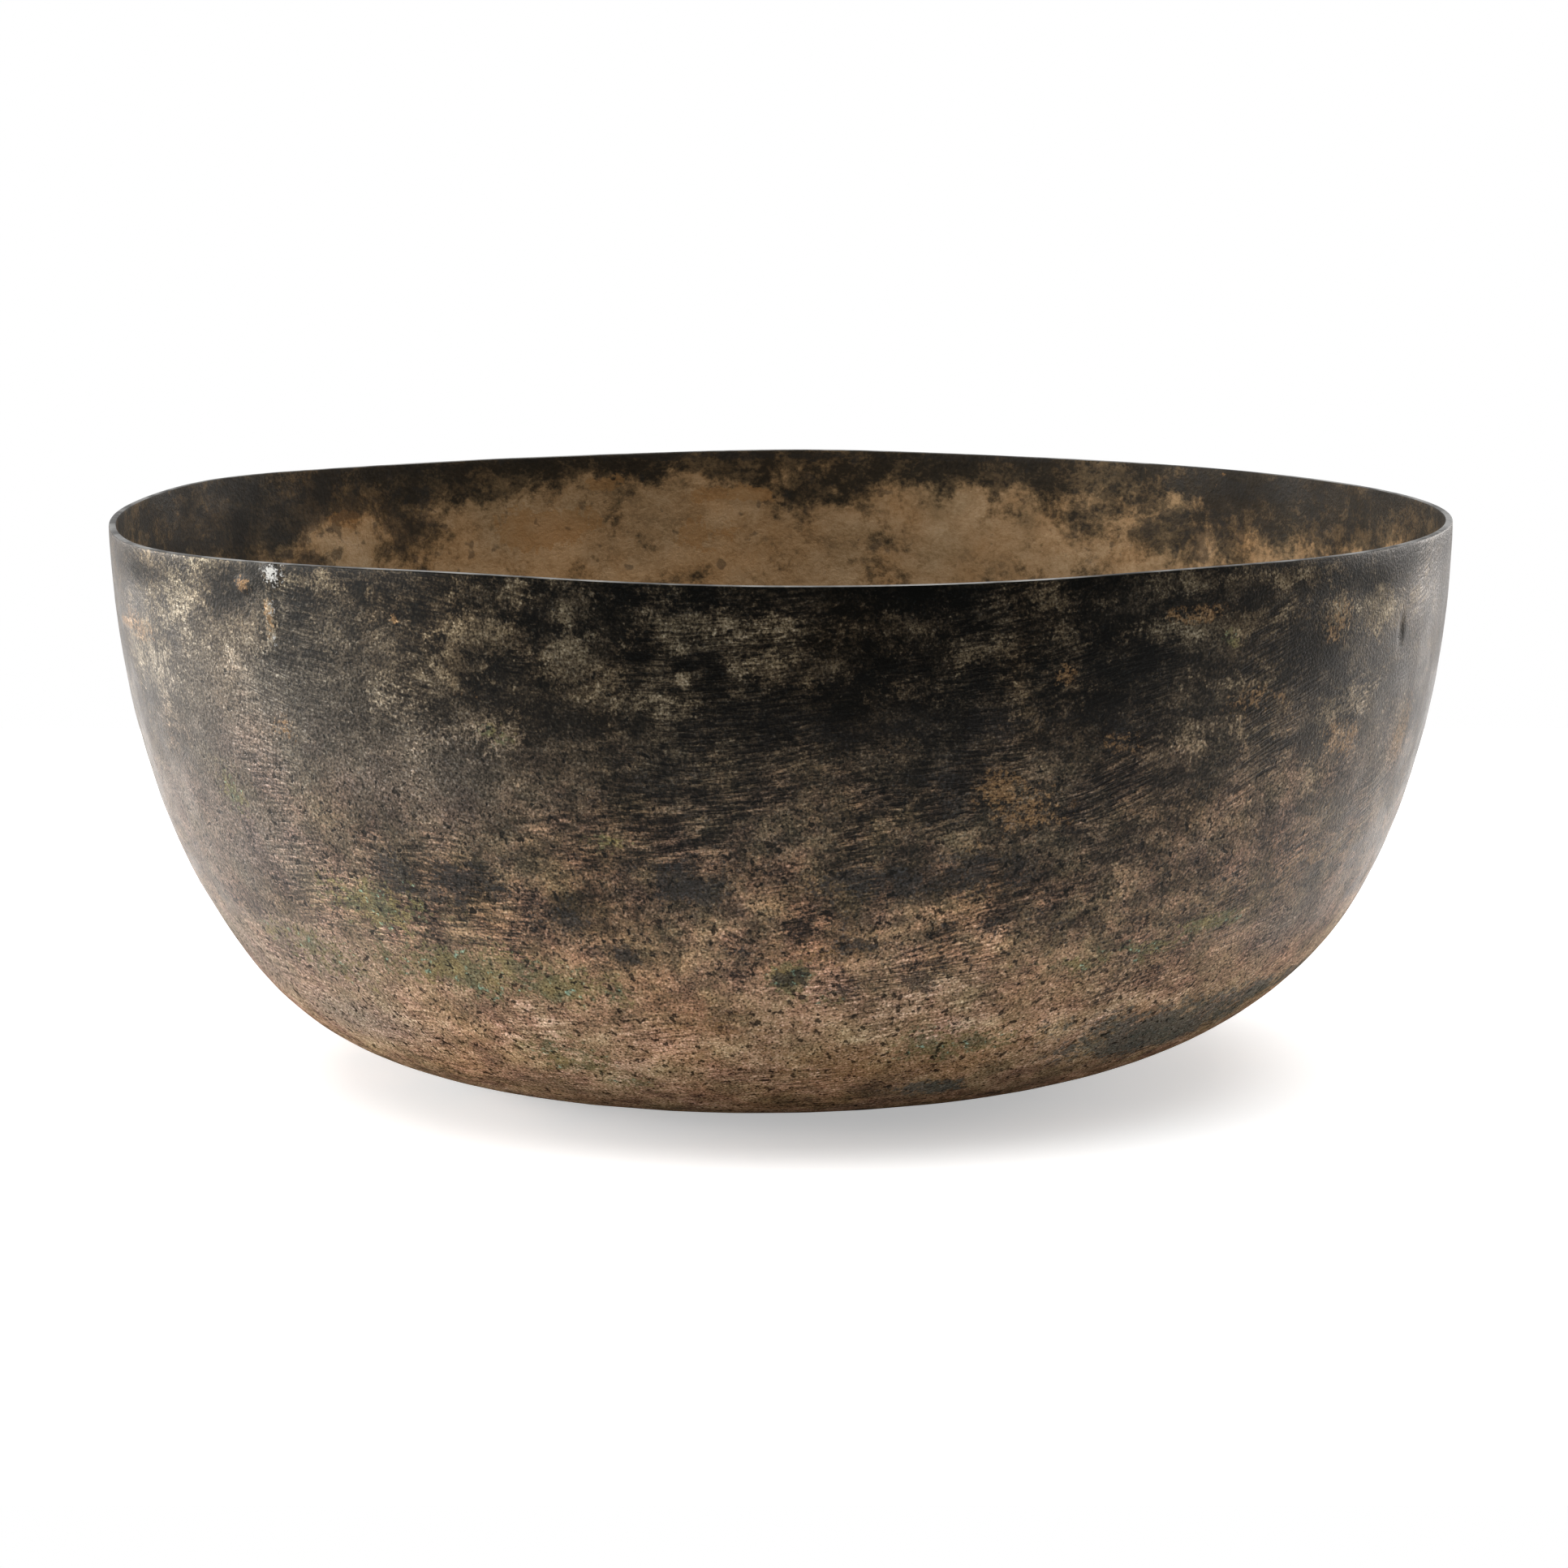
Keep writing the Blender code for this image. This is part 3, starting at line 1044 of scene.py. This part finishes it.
def outside_material(groups):
    """The outer wall's finish, put together from its level, patina, stains, specks and metal."""
    t = Finish("aged_outside", groups)
    share = t.wall_share()
    drifted = t.drifted(share, OUTER_DRIFT_NOISE, OUTER_DRIFT)
    lower = t.spread(drifted, *LOWER_BAND)
    calm_sheen = t.attribute("calm_sheen")
    level, scored, grain = outside_level(t, drifted, lower, calm_sheen)
    pits = t.use(groups["pits"], Position=t.position, Scale=PIT_SCALE, Share=t.between(lower, *PIT_SHARES))
    chalk = t.kept_stain("chalk", CHALK_COVER)
    colour = outside_patina(t, level, lower, calm_sheen)
    colour = outside_stains(t, colour, lower)
    colour = outside_specks(t, colour, pits)
    rough = t.spread(t.noise(t.position, *OUTER_SHINE_NOISE), *SHINE_RANGE, *OUTER_ROUGHNESS)
    t.shade(Base_Color=t.blend(chalk, colour, rgba(CHALK)),
            Roughness=t.total(rough, t.times(calm_sheen, CALM_ROUGHNESS), t.times(chalk, CHALK_ROUGHNESS)),
            Metallic=outside_metal(t, share, chalk),
            Specular_IOR_Level=0.0,
            Specular_Tint=rgba(SHEEN),
            Coat_Weight=t.spread(share, *COAT_FADE),
            Coat_Roughness=COAT_ROUGHNESS)
    height = t.total(t.times(scored, STROKE_HEIGHT), t.times(pits["Pits"], PIT_HEIGHT),
                     t.times(grain, GRAIN_HEIGHT), t.times(chalk, CHALK_HEIGHT))
    t.bump(height, OUTER_BUMP)
    return t.material


def inside_material(groups):
    """The inside's finish: light flaking plates on dark brown, with rust, spots, soot and painted shade on
    its right wall.
    """
    t = Finish("aged_inside", groups)
    share = t.wall_share()
    drifted = t.drifted(share, INNER_DRIFT_NOISE, INNER_DRIFT)
    tan = t.times(t.attribute("tan"), PLATES_IN_TAN)
    # Fewer plates under the black patches, which include painted shade on the right wall.
    black = t.times(t.attribute("black"), PLATES_IN_BLACK)
    flaking = t.total(t.ramp(drifted, greys(PLATE_SHARES)), t.total(tan, black))
    plates = t.stain(flaking, t.spread(share, *PLATE_LIFT), "inner_plate")
    start = t.total(t.ramp(drifted, greys(INNER_LEVELS)), plates)
    patina = t.use(groups["patina"], Level=start, Position=t.position, **INNER_CLOUDS)
    colour = t.ramp(patina["Level"], INNER_PATINA)
    rust = t.stain(t.attribute("orange"), INNER_RUST_COVER, "inner_rust")
    colour = t.blend(rust, colour, rgba(RUST))
    spots = t.use(groups["pits"], Position=t.position, **INNER_PITS)["Pits"]
    colour = t.blend(t.times(spots, INNER_SPOT_COVER), colour, rgba(SOOT))
    # Soot, and painted shade on the inner right wall, laid on in the soot colour.
    soot = t.stain(t.attribute("black"), INNER_SOOT_AND_SHADE_COVER, "inner_soot_and_shade")
    colour = t.blend(soot, colour, rgba(SOOT))
    t.shade(Base_Color=t.tint(colour, INNER_TINT_NOISE, TINTS),
            Roughness=t.spread(t.noise(t.position, *INNER_SHINE_NOISE), *SHINE_RANGE, *INNER_ROUGHNESS),
            Metallic=INNER_METAL,
            Specular_IOR_Level=INNER_SPECULAR)
    t.bump(patina["Grain"], INNER_BUMP)
    return t.material


def lip_material():
    """The lip's finish: soot, worn through to grey metal."""
    t = Finish("worn_lip")
    worn = t.spread(t.noise(t.position, *LIP_NOISE), *LIP_WEAR)
    t.shade(Base_Color=t.blend(worn, rgba(SOOT), rgba(GREY)),
            Roughness=t.between(worn, *LIP_ROUGHNESS),
            Metallic=LIP_METAL)
    t.bump(t.noise(t.position, *LIP_BUMP_NOISE), LIP_BUMP)
    return t.material


def dress(bowl, sight):
    """Patches of patina, painted sheen and painted shade from the photograph, then the three finishes by
    face.
    """
    mesh = bowl.data
    skin = Skin(mesh)
    store(mesh, "down", skin.down)
    # The black patches inside include painted shade on the inner right wall.
    for name, stains in (("black", BLACK_STAINS + INNER_SOOT_AND_SHADE_STAINS),
                         ("tan", TAN_STAINS + INNER_TAN_STAINS),
                         ("orange", ORANGE_STAINS + INNER_ORANGE_STAINS),
                         ("green", GREEN_STAINS), ("teal", TEAL_STAINS), ("calm_sheen", CALM_SHEEN_STAINS)):
        store(mesh, name, stain_mask(skin, sight, stains))
    store(mesh, "chalk", stain_mask(skin, sight, CHALK_STAINS, far_side=False))
    groups = {"stain": ragged_stain_group(), "patina": cloudy_patina_group(),
              "strokes": strokes_group(), "pits": pitting_group()}
    for material in (outside_material(groups), inside_material(groups), lip_material()):
        mesh.materials.append(material)
    for face in mesh.polygons:
        corners = list(face.vertices)
        if skin.lip[corners].all():
            face.material_index = LIP_FINISH
        elif skin.inside[corners].sum() * 2 > len(corners):
            face.material_index = INSIDE_FINISH


def area_light(name, place, size, power):
    data = bpy.data.lights.new(name, "AREA")
    data.shape = "RECTANGLE"
    data.size, data.size_y = size
    data.energy = power
    lamp = bpy.data.objects.new(name, data)
    bpy.context.scene.collection.objects.link(lamp)
    lamp.location = place
    lamp.rotation_euler = (Vector(LAMP_AIM) - Vector(place)).to_track_quat("-Z", "Y").to_euler()


def add_floor():
    """A white table top that ends in front of the bowl's shadow."""
    bpy.ops.mesh.primitive_plane_add(size=2.0 * TABLE_SIDES)
    floor = bpy.context.object
    floor.name = "white_floor"
    for corner in floor.data.vertices:
        corner.co.y = max(corner.co.y, -TABLE_FRONT)
    t = Finish("white_floor")
    path = t.add("ShaderNodeLightPath").outputs
    seen = t.math("MAXIMUM", path["Is Camera Ray"], path["Is Glossy Ray"])
    t.shade(Base_Color=FLOOR_COLOUR,
            Roughness=FLOOR_ROUGHNESS,
            Emission_Color=WHITE,
            Emission_Strength=t.times(seen, FLOOR_GLOW))
    floor.data.materials.append(t.material)


def add_world():
    """White to the camera; as light, bright at the back of the room and dim on the camera's side."""
    world = bpy.data.worlds.new("studio")
    bpy.context.scene.world = world
    world.use_nodes = True
    t = Tree(world.node_tree)
    backdrop = world.node_tree.nodes["Background"]
    backdrop.inputs["Color"].default_value = WHITE
    way = t.add("ShaderNodeSeparateXYZ", Vector=t.add("ShaderNodeTexCoord").outputs["Generated"])
    room = t.spread(way.outputs["Y"], *ROOM_FADE)
    path = t.add("ShaderNodeLightPath").outputs
    shown = t.math("MAXIMUM", path["Is Camera Ray"], path["Is Transmission Ray"])
    t.put(backdrop.inputs["Strength"], t.math("MAXIMUM", room, shown))


def studio():
    add_floor()
    add_world()
    for name, (place, size, power) in LAMPS.items():
        area_light(name, place, size, power)
    bpy.context.scene.view_settings.view_transform = "Standard"


def main():
    add_camera()
    bowl = dense_copy("bowl", "hammered_bowl")
    sight = Sight(bowl)
    marks = [sight.patch(*oval) for *oval, _ in MARKS.values()]
    rises = [rise for *_, rise in MARKS.values()]
    refine_marks(bowl, marks)
    hammer(bowl.data)
    raise_marks(bowl.data, marks, rises)
    dress(bowl, sight)
    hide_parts("bowl")
    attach(bowl, "root")
    studio()


main()
